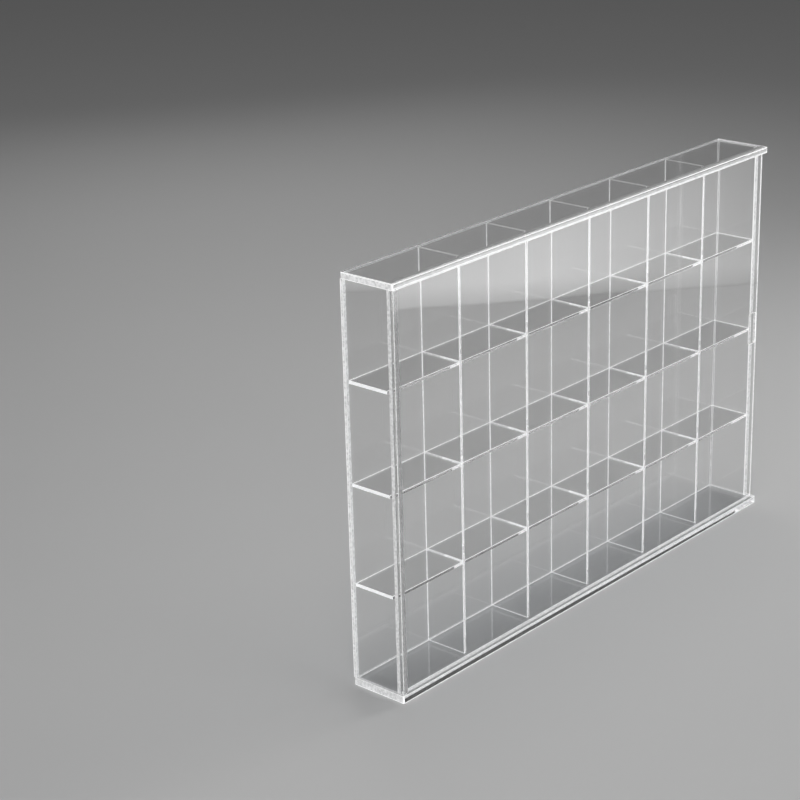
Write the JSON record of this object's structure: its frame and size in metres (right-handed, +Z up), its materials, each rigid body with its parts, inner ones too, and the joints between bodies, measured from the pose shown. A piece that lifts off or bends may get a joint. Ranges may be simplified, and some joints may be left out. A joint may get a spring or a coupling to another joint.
{
  "type": "acrylic jewelry box",
  "caption": "Slim clear display box on edge, with a grid of square compartments behind a clear front door that slides out to the right.",
  "frame": {"origin": "middle of the case's footprint, on the surface that it stands on, with the door closed", "axes": "+X along the width, the way the door slides open; +Y to the back, so the door is at the front on -Y; +Z up"},
  "size_m": [0.36, 0.0376, 0.246],
  "materials": {
    "case_sheet": "clear cast acrylic, polished faces and pale frosted cut edges",
    "grid_sheet": "clear thin acrylic, polished faces and bright cut edges",
    "door_sheet": "clear thin acrylic, polished faces and cut edges"
  },
  "bodies": {
    "case": {"base_plate": "case_sheet", "top_plate": "case_sheet", "back_panel": "case_sheet", "left_side": "case_sheet", "right_side": "case_sheet", "shelf_1": "grid_sheet", "shelf_2": "grid_sheet", "shelf_3": "grid_sheet", "divider_1": "grid_sheet", "divider_2": "grid_sheet", "divider_3": "grid_sheet", "divider_4": "grid_sheet", "divider_5": "grid_sheet"},
    "door": {"sliding_door": "door_sheet"}
  },
  "joints": [
    {"name": "door_slide", "type": "slide", "parent": "case", "child": "door", "axis": [1, 0, 0], "range_m": [0, 0.357]}
  ]
}
